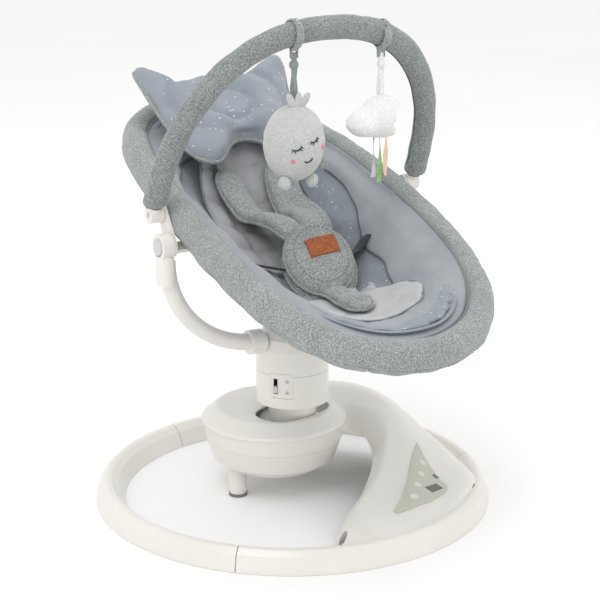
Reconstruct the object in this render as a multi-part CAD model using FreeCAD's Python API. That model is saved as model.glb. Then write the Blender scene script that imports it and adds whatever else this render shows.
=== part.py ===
import FreeCAD
import Part
import os
from math import sin, cos, pi, radians, copysign

# Baby swing. Millimetres. Origin: on the floor under the column, at the centre of the floor ring.
# +Z up, -Y towards the feet end of the seat, +Y towards the head end, X across.

V = FreeCAD.Vector
X_AXIS, Y_AXIS, Z_AXIS = V(1, 0, 0), V(0, 1, 0), V(0, 0, 1)

# ---- base, drawn with its front at -Y, then turned on the floor under the seat ----
BASE_YAW = 14.0
RING_R = 280.0
RING_WIDTH = 41.0
RING_HEIGHT = 30.0
RING_WALL = 3.0
SECTOR = 60.0            # half angle of the front shell's share of the ring
SEAM_GAP = 0.15          # half angle left open at each seam
HOUSING_Y = 38.0
HOUSING_TOP = 123.0
HOUSING_SPLIT = 78.0
WALL = 3.0
LEG_X, LEG_Y = 66.0, 44.0
PANEL_LIFT = 0.2

# ---- swing mechanism ----
AXLE_Z = 50.0
AXLE_R = 5.0
RUN = 0.05               # radial running clearance
NECK_R = 34.0
COLUMN_R = 51.0
COLUMN_BASE = 141.0
COLUMN_SEAM = 188.0
COLUMN_TOP = 251.0
SLOT_HALF_X, SLOT_HALF_Y = 58.0, 38.0
COVER_R = 69.0            # slot cover is an arc about the swing axle

# ---- yoke and seat ----
TILT = 18.5
SEAT_Z = 412.0
ARM_X = 198.0
ARM_R = 11.5
PIVOT_M, PIVOT_N = -17.0, -18.0
BAR_M, BAR_N = 16.0, 12.0
RIM_HALF_X, RIM_HALF_M = 170.0, 332.0
RIM_M0 = -10.0
RIM_W, RIM_H = 20.0, 24.0
RIM_N = 8.0
RIM_SAG = 18.0
FRAME_R = 7.0
BOWL_DEPTH = 104.0
BAR_HALF_X = 205.0
BAR_RISE = 250.0
BAR_LEAN = 5.5
BAR_R = 14.0
PIN_R = 4.0

os.makedirs("parts", exist_ok=True)


def save(name, shape):
    shape.exportStep("parts/%s.step" % name)


def group(shapes):
    return Part.makeCompound(shapes)


def fuse(shapes):
    out = shapes[0]
    for extra in shapes[1:]:
        out = out.fuse(extra)
    return out.removeSplitter()


def on_base(shape):
    moved = shape.copy()
    moved.rotate(V(0, 0, 0), Z_AXIS, BASE_YAW)
    return moved


def on_seat(shape):
    moved = shape.copy()
    moved.rotate(V(0, 0, 0), X_AXIS, TILT)
    moved.translate(V(0, 0, SEAT_Z))
    return moved


def seat_to_world(x, m, n):
    t = radians(TILT)
    return V(x, m * cos(t) - n * sin(t), SEAT_Z + m * sin(t) + n * cos(t))


def polygon_face(points):
    pts = [V(*p) for p in points]
    return Part.Face(Part.makePolygon(pts + [pts[0]]))


def smooth_wire(points, closed=True):
    curve = Part.BSplineCurve()
    curve.interpolate([V(*p) for p in points], PeriodicFlag=closed)
    return Part.Wire(curve.toShape())


def revolve(profile_rz, centre=(0, 0), start=0.0, sweep=360.0):
    face = polygon_face([(r, 0, z) for r, z in profile_rz])
    face.rotate(V(0, 0, 0), Z_AXIS, start)
    face.translate(V(centre[0], centre[1], 0))
    return face.revolve(V(centre[0], centre[1], 0), Z_AXIS, sweep)


def cylinder(r, length, at, axis):
    return Part.makeCylinder(r, length, V(*at), V(*axis))


def block(size, centre):
    return Part.makeBox(size[0], size[1], size[2],
                        V(centre[0] - size[0] / 2, centre[1] - size[1] / 2, centre[2] - size[2] / 2))


def super_point(angle, half_a, half_b, power):
    c, s = cos(angle), sin(angle)
    return (half_a * copysign(abs(c) ** power, c), half_b * copysign(abs(s) ** power, s))


def pipe(path_points, half_u, half_v, closed=False, up=(0, 0, 1)):
    """Sweep an oval (half_u sideways, half_v along `up`) along a smooth path."""
    path = smooth_wire(path_points, closed)
    edge = path.Edges[0]
    start = edge.valueAt(edge.FirstParameter)
    tangent = edge.tangentAt(edge.FirstParameter)
    tangent.normalize()
    lift = V(*up)
    side = tangent.cross(lift)
    side.normalize()
    lift = side.cross(tangent)
    big, small, major = (half_u, half_v, side) if half_u >= half_v else (half_v, half_u, lift)
    if abs(half_u - half_v) < 1e-6:
        section = Part.makeCircle(half_u, start, tangent)
    else:
        ellipse = Part.Ellipse(start + major * big, start + major.cross(tangent) * small, start)
        section = ellipse.toShape()
    shell = Part.BRepOffsetAPI.MakePipeShell(path)
    shell.setBiNormalMode(V(*up))
    shell.add(Part.Wire(section))
    shell.build()
    shell.makeSolid()
    return shell.shape()


def hexagon_bolt(at, axis, head_r=3.5, shank_r=1.6, length=9.0):
    a = V(*axis)
    head = Part.makeCylinder(head_r, 2.2, V(*at), a)
    shank = Part.makeCylinder(shank_r, length, V(*at) - a * length, a)
    return head.fuse(shank)


# =====================================================================================
# Base: floor ring, front shell with bridge and housing, mechanism
# =====================================================================================
def ring_profile(inset=0.0):
    outer, inner = RING_R - inset, RING_R - RING_WIDTH + inset
    ridge = RING_R - 17.0
    top = RING_HEIGHT - inset
    low = inset if inset else 0.0
    return [(inner, low), (outer, low), (outer - 0.5, low + 5), (RING_R - 6 - inset * 0.6, top - 7.5),
            (ridge + 4, top - 1), (ridge, top), (ridge - 5, top - 1), (ridge - 14, top - 9)]


def ring_tube(start, sweep):
    skin = revolve(ring_profile(), start=start, sweep=sweep)
    return skin.cut(revolve(ring_profile(RING_WALL), start=start - 1, sweep=sweep + 2))


FRONT = -90.0
rib = SECTOR + SEAM_GAP
right_tube = ring_tube(FRONT + rib, 180 - SECTOR - 2 * SEAM_GAP)
left_tube = ring_tube(90 + SEAM_GAP, 180 - SECTOR - 2 * SEAM_GAP)
save("right_ring_tube", on_base(right_tube))
save("left_ring_tube", on_base(left_tube))

spigot_profile = ring_profile(RING_WALL + 0.25)
spigots = [revolve(spigot_profile, start=a - 4, sweep=8) for a in (FRONT - SECTOR, FRONT + SECTOR, 90)]
save("ring_spigots", on_base(group(spigots)))


# stations of the arm that swirls from the housing down into the ring:
# near foot (x, y, z), far foot (x, y, z), near shoulder (fraction, z), middle z, far shoulder (fraction, z)
ARM = [((36, -40, 84), (88, 92, 84), (0.12, 112), 121, (0.86, 116)),
       ((80, -46, 82), (162, 86, 52), (0.16, 108), 122, (0.78, 116)),
       ((80, -72, 72), (194, 12, 38), (0.20, 103), 118, (0.78, 110)),
       ((62, -98, 54), (205, -58, 18), (0.24, 90), 101, (0.80, 86)),
       ((28, -118, 37), (209, -118, 5), (0.16, 66), 76, (0.86, 56)),
       ((-26, -142, 20), (202, -166, 1), (0.10, 42), 54, (0.90, 38)),
       ((-84, -168, 5), (182, -202, 1), (0.06, 27), 42, (0.94, 30)),
       ((-104, -218, 1), (140, -228, 1), (0.06, 22), 33, (0.94, 27)),
       ((-52, -262, 1), (66, -264, 1), (0.10, 12), 17, (0.90, 14))]


def arm_section(near, far, near_fold, middle, far_fold, inset):
    a, b = V(*near), V(*far)
    run = V(b.x - a.x, b.y - a.y, 0)
    length = run.Length
    run.normalize()
    a, b = a + run * inset, b - run * inset
    span = length - 2 * inset

    def at(fraction, z):
        p = a + run * (span * fraction)
        return V(p.x, p.y, z)

    low_a = near[2] - (30 if inset else 0)
    low_b = far[2] - (30 if inset else 0)
    flank_a = near[2] + (near_fold[1] - near[2]) * 0.55 - inset * 0.6
    flank_b = far[2] + (far_fold[1] - far[2]) * 0.55 - inset * 0.6
    top = [at(0, low_a), at(near_fold[0] * 0.45, flank_a), at(near_fold[0], near_fold[1] - inset),
           at((near_fold[0] + 0.5) / 2, (near_fold[1] + middle) / 2 + 2 - inset), at(0.5, middle - inset),
           at((far_fold[0] + 0.5) / 2, (far_fold[1] + middle) / 2 + 2 - inset),
           at(far_fold[0], far_fold[1] - inset), at(far_fold[0] + (1 - far_fold[0]) * 0.55, flank_b), at(1, low_b)]
    curve = Part.BSplineCurve()
    curve.interpolate(top)
    return Part.Wire([curve.toShape(), Part.makeLine(top[-1], top[0])])


def bridge_solid(inset=0.0):
    stations = ARM[:-1] if inset else ARM
    return Part.makeLoft([arm_section(*station, inset) for station in stations], True, False)


HOUSING_OUT = [(0, HOUSING_TOP), (79, HOUSING_TOP), (83, HOUSING_TOP - 1), (102, 107), (104, 104), (103, 101),
               (101, 100), (98.5, HOUSING_SPLIT), (0, HOUSING_SPLIT)]
HOUSING_IN = [(0, HOUSING_TOP - WALL), (78, HOUSING_TOP - WALL), (82, HOUSING_TOP - WALL - 1), (99, 105), (99.5, 103),
              (98, 100), (95.5, HOUSING_SPLIT - 1), (0, HOUSING_SPLIT - 1)]
housing_out = revolve(HOUSING_OUT, (0, HOUSING_Y))
housing_in = revolve(HOUSING_IN, (0, HOUSING_Y))
front_ring_out = revolve(ring_profile(), start=FRONT - SECTOR + SEAM_GAP, sweep=2 * (SECTOR - SEAM_GAP))
front_ring_in = revolve(ring_profile(RING_WALL), start=FRONT - SECTOR - 1, sweep=2 * SECTOR + 2)
shell_out = housing_out.fuse(bridge_solid()).fuse(front_ring_out)
front_shell = shell_out.cut(housing_in).cut(bridge_solid(WALL)).cut(front_ring_in)
front_shell = front_shell.cut(block((900, 900, 60), (0, 0, -30)))

slot_points = [super_point(2 * pi * i / 24, SLOT_HALF_X, SLOT_HALF_Y, 0.8) for i in range(24)]
slot_tool = Part.Face(smooth_wire([(x, y, 100) for x, y in slot_points])).extrude(V(0, 0, 40))
front_shell = front_shell.cut(slot_tool)

# control panel: a sail-shaped overlay that follows the front slope
panel_outline = [(128, -124), (90, -146), (52, -172), (12, -194), (-13, -206), (-10, -213), (10, -217), (50, -219),
                 (84, -214), (99, -206), (104, -190), (112, -166), (120, -144)]


def panel_prism(points, low=10, high=150):
    return polygon_face([(x, y, low) for x, y in points]).extrude(V(0, 0, high - low))


deck_top = max(bridge_solid().Faces, key=lambda face: face.Area)


def deck_plate(tool, low, high):
    """The part of the sloping deck inside the tool, as a plate between two heights above the deck."""
    plate = deck_top.common(tool)
    plate.translate(V(0, 0, low))
    return max(plate.Faces, key=lambda face: face.Area).extrude(V(0, 0, high - low))


panel = deck_plate(panel_prism(panel_outline), PANEL_LIFT, PANEL_LIFT + 1.6)
KEYS = [(106, -154, 4.6), (85, -169, 4.6), (61, -184, 5.0), (34, -201, 6.0)]
key_prisms = [cylinder(r, 160, (x, y, 20), (0, 0, 1)) for x, y, r in KEYS]
window_prism = block((24, 14, 160), (78, -199, 100))
ir_prism = block((6, 9, 160), (103, -180, 100))
keys = [deck_plate(prism, PANEL_LIFT, PANEL_LIFT + 2.1) for prism in key_prisms]
windows = [deck_plate(window_prism, PANEL_LIFT, PANEL_LIFT + 1.6)]
ir = [deck_plate(ir_prism, PANEL_LIFT, PANEL_LIFT + 1.6)]
for tool in key_prisms + [window_prism, ir_prism]:
    panel = panel.cut(tool)
save("control_panel", on_base(panel))
save("touch_keys", on_base(group(keys)))
save("display_window", on_base(windows[0]))
save("infrared_window", on_base(ir[0]))

# lower tray of the housing, legs and feet
TRAY_OUT = [(0, 38), (74, 38), (88, 48), (98.3, HOUSING_SPLIT - 0.3), (95.3, HOUSING_SPLIT - 0.3), (85.5, 50.5),
            (73, 41), (0, 41)]
tray = revolve(TRAY_OUT, (0, HOUSING_Y))
front_gate = bridge_solid(WALL).fuse(bridge_solid())
tray = tray.cut(front_gate)
legs = []
feet = []
for side in (-1, 1):
    cone = Part.makeCone(12.0, 14.0, 40, V(side * LEG_X, LEG_Y, 4), Z_AXIS)
    legs.append(cone.cut(revolve([(0, 38), (74, 38), (88, 48), (98.3, 78), (0, 78)], (0, HOUSING_Y))))
    feet.append(cylinder(13.0, 4.0, (side * LEG_X, LEG_Y, 0), (0, 0, 1)))
save("housing_tray", on_base(tray))
save("support_legs", on_base(group(legs)))
save("rubber_feet", on_base(group(feet)))

# mechanism chassis, bearings, motor, gearbox
chassis = block((92, 112, 3), (0, HOUSING_Y, 43.0)).fuse(block((34, 134, 3), (0, HOUSING_Y, 43.0)))
chassis = chassis.cut(block((26, 94, 6), (0, HOUSING_Y - 2, 43.0)))
uprights = []
for y in (HOUSING_Y - 56, HOUSING_Y + 44):
    plate = block((36, 6, 17.4), (0, y, 53.3))
    uprights.append(plate.cut(cylinder(AXLE_R + RUN, 20, (0, y - 10, AXLE_Z), (0, 1, 0))))
save("chassis_plate", on_base(chassis))
save("bearing_blocks", on_base(group(uprights)))
axle = cylinder(AXLE_R, 112, (0, HOUSING_Y - 62, AXLE_Z), (0, 1, 0))
save("swing_axle", on_base(axle))

CRANK_Y = HOUSING_Y + 56.0
CRANK_Z = 84.0
CRANK_THROW = 5.0
gearbox = block((46, 16, 32), (0, CRANK_Y + 8, CRANK_Z)).cut(cylinder(4 + RUN, 60, (0, CRANK_Y - 20, CRANK_Z), (0, 1, 0)))
motor = cylinder(12, 34, (-23.2, CRANK_Y + 8, CRANK_Z), (-1, 0, 0)).common(revolve(HOUSING_IN, (0, HOUSING_Y)))
gear_post = block((30, 5, 22), (0, HOUSING_Y + 60, 55.4)).fuse(block((30, 16, 3), (0, CRANK_Y + 8, 66.2)))
save("gearbox", on_base(gearbox))
save("drive_motor", on_base(motor))

crank_shaft = cylinder(4.0, 20, (0, CRANK_Y - 4, CRANK_Z), (0, 1, 0))
crank_disc = cylinder(11.0, 4, (0, CRANK_Y - 4.5, CRANK_Z), (0, 1, 0))
crank_pin = cylinder(2.5, 12, (0, CRANK_Y - 15.5, CRANK_Z + CRANK_THROW), (0, 1, 0))
save("crank", on_base(fuse([crank_disc, crank_shaft, crank_pin])))

# rocker: clamps the axle, carries the neck and a slotted tail for the crank pin
hub = cylinder(8.4, 84, (0, HOUSING_Y - 44, AXLE_Z), (0, 1, 0))
hub = hub.cut(cylinder(AXLE_R, 100, (0, HOUSING_Y - 50, AXLE_Z), (0, 1, 0)))
post = cylinder(15, 36, (0, 12, AXLE_Z + 3), (0, 0, 1)).fuse(cylinder(24, 14, (0, 0, AXLE_Z + 25), (0, 0, 1)))
post = post.cut(cylinder(AXLE_R, 100, (0, -50, AXLE_Z), (0, 1, 0)))
tail_arm = block((16, 78, 8), (0, 48, AXLE_Z + 20)).fuse(block((16, 8, 40), (0, CRANK_Y - 11, 86)))
pin_slot = block((9.0, 20, 24), (0, CRANK_Y - 11, CRANK_Z))
tail_arm = tail_arm.cut(pin_slot)
rocker = fuse([hub, post, tail_arm])
save("rocker", on_base(rocker))
neck = cylinder(NECK_R, 51, (0, 0, AXLE_Z + 39.2), (0, 0, 1)).fuse(cylinder(24, 50, (0, 0, 140), (0, 0, 1)))
save("column_neck", on_base(neck))
cover = cylinder(COVER_R, 86, (0, -40, AXLE_Z), (0, 1, 0)).cut(cylinder(COVER_R - 2.5, 86, (0, -40, AXLE_Z), (0, 1, 0)))
cover = cover.common(block((126, 110, 80), (0, 0, AXLE_Z + 40 + 28)))
cover = cover.cut(cylinder(NECK_R, 100, (0, 0, 70), (0, 0, 1)))
cover = cover.common(cylinder(84, 200, (0, HOUSING_Y, 0), (0, 0, 1)))
save("slot_cover", on_base(cover))

# electronics and socket
board = block((32, 24, 1.6), (70, -134, 38))
speaker = revolve([(0, 60), (16, 60), (20, 70), (22, 72), (22, 74), (0, 74)], (128, -40))
save("control_board", on_base(board))
save("loudspeaker", on_base(speaker))
socket_y = HOUSING_Y + 95.0
socket_body = cylinder(6.0, 22, (40, 0, 90), (0, 1, 0))
socket_body.translate(V(0, socket_y - 24, 0))
socket_bore = cylinder(3.2, 12, (40, socket_y - 13.0, 90), (0, 1, 0))
front_shell = front_shell.cut(cylinder(6.0, 60, (40, socket_y - 40, 90), (0, 1, 0)))
save("power_socket", on_base(socket_body.cut(socket_bore)))
save("front_shell", on_base(front_shell))

SCREW_SPOTS = ((-40, -10), (40, -10), (-40, 84), (40, 84))
screws = []
for sx, sy in SCREW_SPOTS:
    screws.append(hexagon_bolt((sx, sy, 38), (0, 0, -1), 4.0, 2.0, 4.8))
screw_seats = group([cylinder(2.0, 12, (sx, sy, 34), (0, 0, 1)) for sx, sy in SCREW_SPOTS])
save("tray_screws", on_base(group(screws)))
save("housing_tray", on_base(tray.cut(screw_seats)))
save("chassis_plate", on_base(fuse([chassis, gear_post]).cut(screw_seats)))

# =====================================================================================
# Column, turning on the neck: shell, dome, switch plate, yoke and knuckles
# =====================================================================================
shell_prof = [(24 + 0.1, COLUMN_BASE), (COLUMN_R, COLUMN_BASE), (COLUMN_R, COLUMN_SEAM), (24.1, COLUMN_SEAM)]
column_skirt = revolve([(24.1, COLUMN_BASE), (COLUMN_R, COLUMN_BASE), (COLUMN_R, COLUMN_SEAM - 0.4),
                        (COLUMN_R - 4, COLUMN_SEAM - 0.4), (COLUMN_R - 4, COLUMN_BASE + 5),
                        (30, COLUMN_BASE + 5), (30, COLUMN_SEAM - 0.4), (24.1, COLUMN_SEAM - 0.4)])
column_head = revolve([(0, 191.5), (30, 191.5), (30, COLUMN_SEAM), (COLUMN_R, COLUMN_SEAM), (COLUMN_R, 222),
                       (COLUMN_R - 3, 237), (COLUMN_R - 12, 246), (28, COLUMN_TOP), (0, COLUMN_TOP + 2)])
plate_dir = radians(222.0)
plate_mid = V(COLUMN_R * cos(plate_dir), COLUMN_R * sin(plate_dir), 0)


def at_plate(shape):
    moved = shape.copy()
    moved.rotate(V(0, 0, 0), Z_AXIS, 222.0)
    return moved


plate_pocket = at_plate(block((6, 34, 36), (COLUMN_R, 0, 174)))
slider_slot = at_plate(block((12, 7, 24), (COLUMN_R - 6, -9, 173)))
column_skirt_cut = column_skirt.cut(plate_pocket).cut(slider_slot)
column_head_cut = column_head.cut(plate_pocket)
plate = at_plate(block((3, 33, 35), (COLUMN_R - 1.3, 0, 174)))
plate = plate.common(cylinder(COLUMN_R - 0.2, 90, (0, 0, 130), (0, 0, 1)))
plate = plate.cut(at_plate(block((12, 6.4, 22.4), (COLUMN_R, -9, 173))))
plate_screws = [at_plate(cylinder(2.2, 1.2, (COLUMN_R - 0.6, 8, z), (1, 0, 0))) for z in (165, 181)]
for z in (165, 181):
    plate = plate.cut(at_plate(cylinder(2.2, 12, (COLUMN_R - 0.6, 8, z), (1, 0, 0))))
save("column_skirt", column_skirt_cut)
save("switch_plate", plate)
save("plate_screws", group(plate_screws))
slider = at_plate(block((7, 5.6, 9), (COLUMN_R - 2.0, -9, 168.5)))
save("turn_lock_slider", slider)

YOKE_Z = 233.0
pivot = seat_to_world(0, PIVOT_M, PIVOT_N)
PIVOT_Y, PIVOT_Z = pivot.y, pivot.z


def yoke_path(side):
    pts = [(30, 0, YOKE_Z), (70, 0, YOKE_Z + 2), (108, PIVOT_Y * 0.1, YOKE_Z + 12), (146, PIVOT_Y * 0.3, YOKE_Z + 34),
           (174, PIVOT_Y * 0.6, YOKE_Z + 64), (ARM_X - 7, PIVOT_Y * 0.85, YOKE_Z + 98),
           (ARM_X - 1, PIVOT_Y, PIVOT_Z - 20)]
    return [(side * x, y, z) for x, y, z in pts]


collars = []
yokes = {}
for side, name in ((-1, "left"), (1, "right")):
    tube = pipe(yoke_path(side), ARM_R, ARM_R, up=(0, 1, 0))
    yokes[name] = tube
    collar = cylinder(17, 24, (side * 47.0, 0, YOKE_Z + 0.5), (side, 0, 0.03))
    collar = collar.cut(cylinder(COLUMN_R + 0.05, 120, (0, 0, 160), (0, 0, 1))).cut(tube)
    collars.append(collar)
    save("%s_yoke_tube" % name, tube)
    column_head_cut = column_head_cut.cut(tube)
save("column_head", column_head_cut)
save("yoke_collars", group(collars))

# knuckles at the tops of the arms
KNUCKLE_IN, KNUCKLE_OUT = 193.0, 209.0
button_travel = 4.0
for side, name in ((-1, "left"), (1, "right")):
    axis = V(side, 0, 0)
    capsule = cylinder(17.5, KNUCKLE_OUT - KNUCKLE_IN, (side * KNUCKLE_IN, PIVOT_Y, PIVOT_Z), (side, 0, 0))
    sleeve = cylinder(14.0, 40, (side * ARM_X, PIVOT_Y, PIVOT_Z - 52), (0, 0, 1))
    sleeve = sleeve.common(block((26, 60, 120), (side * (KNUCKLE_IN + 13), PIVOT_Y, PIVOT_Z - 30)))
    knuckle = capsule.fuse(sleeve).cut(yokes[name])
    knuckle = knuckle.cut(cylinder(PIN_R + 2 + RUN, 9, (side * (KNUCKLE_IN - 1), PIVOT_Y, PIVOT_Z), (side, 0, 0)))
    knuckle = knuckle.cut(cylinder(11.3, 9, (side * (KNUCKLE_OUT - 5.5), PIVOT_Y, PIVOT_Z), (side, 0, 0)))
    save("%s_knuckle" % name, knuckle)
    face_x = side * (KNUCKLE_OUT - 1.5)
    button = cylinder(11.0, 3.5, (face_x, PIVOT_Y, PIVOT_Z), (side, 0, 0))
    save("%s_recline_button" % name, button)

# =====================================================================================
# Seat frame, brackets, toy bar joints (drawn in the seat's own plane, then tilted)
# =====================================================================================
def rim_point(t, half_x, half_m, n):
    c, s = cos(t), sin(t)
    x = half_x * (1.06 * s + 0.075 * sin(3 * t)) + 5.0 * sin(2 * t)
    return (x, RIM_M0 - half_m * c, n - RIM_SAG * c * c)


rim_path = [rim_point(2 * pi * i / 32, RIM_HALF_X, RIM_HALF_M, RIM_N) for i in range(32)]
rim_skin = pipe(rim_path, RIM_W, RIM_H, closed=True)
frame_hole = pipe(rim_path, FRAME_R + 0.1, FRAME_R + 0.1, closed=True)
frame_tube = pipe(rim_path, FRAME_R, FRAME_R, closed=True)
rim_cover = rim_skin.cut(frame_hole)

brackets = []
for side in (-1, 1):
    plate_x = 188.2
    plate = fuse([
        cylinder(15, 4.2, (side * plate_x, PIVOT_M, PIVOT_N), (side, 0, 0)),
        cylinder(11, 4.2, (side * plate_x, BAR_M, BAR_N), (side, 0, 0)),
        polygon_face([(side * plate_x, PIVOT_M - 10, PIVOT_N + 11), (side * plate_x, PIVOT_M + 10, PIVOT_N - 11),
                      (side * plate_x, BAR_M + 8, BAR_N - 7.5),
                      (side * plate_x, BAR_M - 8, BAR_N + 7.5)]).extrude(V(side * 4.2, 0, 0))])
    web = block((26, 20, 5), (side * (plate_x - 11), PIVOT_M, PIVOT_N - 4))
    saddle = block((12, 20, 30), (side * 166, PIVOT_M, PIVOT_N + 8.5))
    pin = cylinder(PIN_R + 2, 9, (side * (plate_x + 2), PIVOT_M, PIVOT_N), (side, 0, 0))
    bar_pin = cylinder(PIN_R, 19, (side * (plate_x + 2), BAR_M, BAR_N), (side, 0, 0))
    brackets.append(fuse([plate, web, saddle, pin, bar_pin]).cut(frame_tube))
rim_cover = rim_cover.cut(group(brackets))
save("seat_frame", on_seat(frame_tube))
save("seat_brackets", on_seat(group(brackets)))
save("rim_cover", on_seat(rim_cover))

# bowl-shaped soft parts: each is the layer between two nested bowls
LEVELS = [(70, 1.12, 1.07, 0), (2, 1.0, 1.0, 0), (-36, 0.90, 0.86, -10), (-72, 0.72, 0.66, -24),
          (-96, 0.46, 0.45, -36), (-BOWL_DEPTH, 0.18, 0.22, -44)]
BOWL_HALF_X, BOWL_HALF_M = 149.0, 300.0


def bowl(inset):
    wires = []
    for n, kx, km, shift in LEVELS:
        hx = BOWL_HALF_X * kx - inset
        hm = BOWL_HALF_M * km - inset
        if n == -BOWL_DEPTH:
            hx, hm = BOWL_HALF_X * kx, BOWL_HALF_M * km
        lift = n + inset * (1.0 if n < 0 else 0.0)
        pts = [super_point(2 * pi * i / 28, hx, hm, 0.86) for i in range(28)]
        wires.append(smooth_wire([(x, y + shift + RIM_M0, lift) for x, y in pts]))
    return Part.makeLoft(wires, True, False)


LINER_IN = 5.4
INSERT_THICK = 24.0
COVER_DISC_R = 48.0
LINER_THICK = 13.0
floor_bowl = bowl(LINER_IN + LINER_THICK + 0.4)
slab = block((500, 900, 380), (0, 0, -190 + RIM_N))


def raised(height):
    up = floor_bowl.copy()
    up.translate(V(0, 0, height))
    return up


shell_body = bowl(0.0).common(slab).cut(rim_skin).cut(bowl(LINER_IN - 0.4))
liner_body = bowl(LINER_IN).common(slab).cut(rim_skin).cut(bowl(LINER_IN + LINER_THICK))
save("seat_shell", on_seat(max(shell_body.Solids, key=lambda s: s.Volume)))
liner_body = max(liner_body.Solids, key=lambda s: s.Volume)
save("seat_liner", on_seat(liner_body))


def layer(low, high, plan):
    """The slice between two heights above the liner's floor, cut to a plan outline."""
    prism = Part.Face(smooth_wire([(x, y, -140) for x, y in plan])).extrude(V(0, 0, 170))
    piece = prism.common(raised(low)).cut(raised(high))
    return max(piece.Solids, key=lambda s: s.Volume)


def mirror_plan(points):
    return points + [(-x, y) for x, y in reversed(points) if x > 0]


insert_plan = [super_point(2 * pi * i / 24, 102, 190, 0.8) for i in range(24)]
insert_plan = [(x, y + 28) for x, y in insert_plan]
save("back_insert", on_seat(layer(0.0, INSERT_THICK, insert_plan)))
bolster_plan = mirror_plan([(0, -272), (60, -262), (104, -222), (118, -176), (104, -166), (88, -196), (50, -226),
                            (14, -236)])
save("foot_bolster", on_seat(layer(0.0, 18.0, bolster_plan).cut(layer(0.0, INSERT_THICK, insert_plan))))


def strip_plan(start, end, half):
    dx, dy = end[0] - start[0], end[1] - start[1]
    length = (dx * dx + dy * dy) ** 0.5
    ux, uy = dx / length, dy / length
    nx, ny = -uy, ux
    pts = []
    for k in range(5):
        a = -pi / 2 + pi * k / 4
        pts.append((end[0] + half * (cos(a) * ux + sin(a) * nx), end[1] + half * (cos(a) * uy + sin(a) * ny)))
    for k in range(5):
        a = pi / 2 + pi * k / 4
        pts.append((start[0] + half * (cos(a) * ux + sin(a) * nx), start[1] + half * (cos(a) * uy + sin(a) * ny)))
    return pts


BUCKLE_M = -64.0
STRAP_LOW = INSERT_THICK + 0.4
STRAP_HIGH = STRAP_LOW + 14.0
COVER_LOW = STRAP_HIGH + 0.4
COVER_HIGH = COVER_LOW + 14.0
shoulder = [layer(STRAP_LOW, STRAP_HIGH, strip_plan((s * 38, 112), (s * 27, BUCKLE_M + 62), 18)) for s in (-1, 1)]
save("shoulder_pads", on_seat(group(shoulder)))
straps = [layer(STRAP_LOW, STRAP_HIGH, strip_plan((s * 41, 160), (s * 41, 147), 9)) for s in (-1, 1)]
hips = [layer(STRAP_LOW, STRAP_HIGH, strip_plan((s * 96, BUCKLE_M + 10), (s * 56, BUCKLE_M), 10)) for s in (-1, 1)]
save("harness_webbing", on_seat(group(straps + hips)))
crotch = layer(STRAP_LOW, STRAP_HIGH, strip_plan((0, BUCKLE_M - 50), (0, BUCKLE_M - 108), 20))
save("crotch_pad", on_seat(crotch))
disc_plan = [(COVER_DISC_R * cos(2 * pi * i / 20), BUCKLE_M + COVER_DISC_R * sin(2 * pi * i / 20)) for i in range(20)]
buckle_plan = [(24 * cos(2 * pi * i / 16), BUCKLE_M + 20 * sin(2 * pi * i / 16)) for i in range(16)]
save("buckle_cover", on_seat(layer(COVER_LOW, COVER_HIGH, disc_plan)))
save("harness_buckle", on_seat(layer(STRAP_LOW, STRAP_HIGH, buckle_plan)))
patch_box = block((34, 17, 200), (0, BUCKLE_M, -60))
patch = patch_box.common(raised(COVER_HIGH + 0.3)).cut(raised(COVER_HIGH + 1.9))
save("leather_patch", on_seat(max(patch.Solids, key=lambda s: s.Volume)))

# headrest pillow with two ear corners
PILLOW = [(0, 136), (36, 142), (70, 158), (92, 186), (102, 226), (124, 278), (106, 286), (76, 276), (42, 286),
          (0, 282)]
pillow_plan = mirror_plan(PILLOW)
pillow_face = Part.Face(smooth_wire([(x, y, 0) for x, y in pillow_plan]))
pillow = pillow_face.extrude(V(0, 0, 26))
pillow.rotate(V(0, 136, 0), X_AXIS, 9.0)
pillow.translate(V(0, 0, 2))
pillow = pillow.cut(rim_skin).cut(liner_body).cut(layer(0.0, INSERT_THICK, insert_plan))
save("headrest_pillow", on_seat(max(pillow.Solids, key=lambda s: s.Volume)))

# =====================================================================================
# Toy bar with two hanging toys
# =====================================================================================
def on_bar(shape):
    moved = shape.copy()
    moved.rotate(V(0, BAR_M, BAR_N), X_AXIS, BAR_LEAN)
    return on_seat(moved)


def bar_to_world(x, rise):
    t = radians(BAR_LEAN)
    return seat_to_world(x, BAR_M - rise * sin(t), BAR_N + rise * cos(t))


def bar_point(s):
    c, k = cos(s), sin(s)
    x = BAR_HALF_X * copysign(abs(k) ** 0.86, k)
    rise = BAR_RISE if c > 0 else BAR_RISE * 0.0
    return (x, BAR_M, BAR_N + 14 + rise * abs(c) ** 0.9)


arc = [bar_point(radians(a)) for a in range(-90, 91, 10)]
bar_core = pipe(arc, 8.0, 8.0, up=(0, 1, 0))
bar_skin = pipe(arc, BAR_R + 3, BAR_R, up=(0, 1, 0))
bar_hole = pipe(arc, 8.1, 8.1, up=(0, 1, 0))
save("toy_bar_sleeve", on_bar(bar_skin.cut(bar_hole)))
save("toy_bar_tube", on_bar(bar_core))
ends = []
for side in (-1, 1):
    body = cylinder(11.5, 19, (side * 193.0, BAR_M, BAR_N), (side, 0, 0))
    neck_up = cylinder(10.0, 13.6, (side * BAR_HALF_X, BAR_M, BAR_N), (0, 0, 1))
    end = body.fuse(neck_up.common(block((19, 40, 40), (side * 202.5, BAR_M, BAR_N))))
    ends.append(end.cut(cylinder(PIN_R + RUN, 40, (side * 190, BAR_M, BAR_N), (side, 0, 0))))
ends = [e.cut(bar_skin) for e in ends]
save("toy_bar_ends", on_bar(group(ends)))

TOYS = {"egg": -53.0, "cloud": 82.0}


def bar_height(x):
    best = min((bar_point(radians(a / 4.0)) for a in range(-360, 361)), key=lambda p: abs(p[0] - x))
    return best[2]


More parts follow.
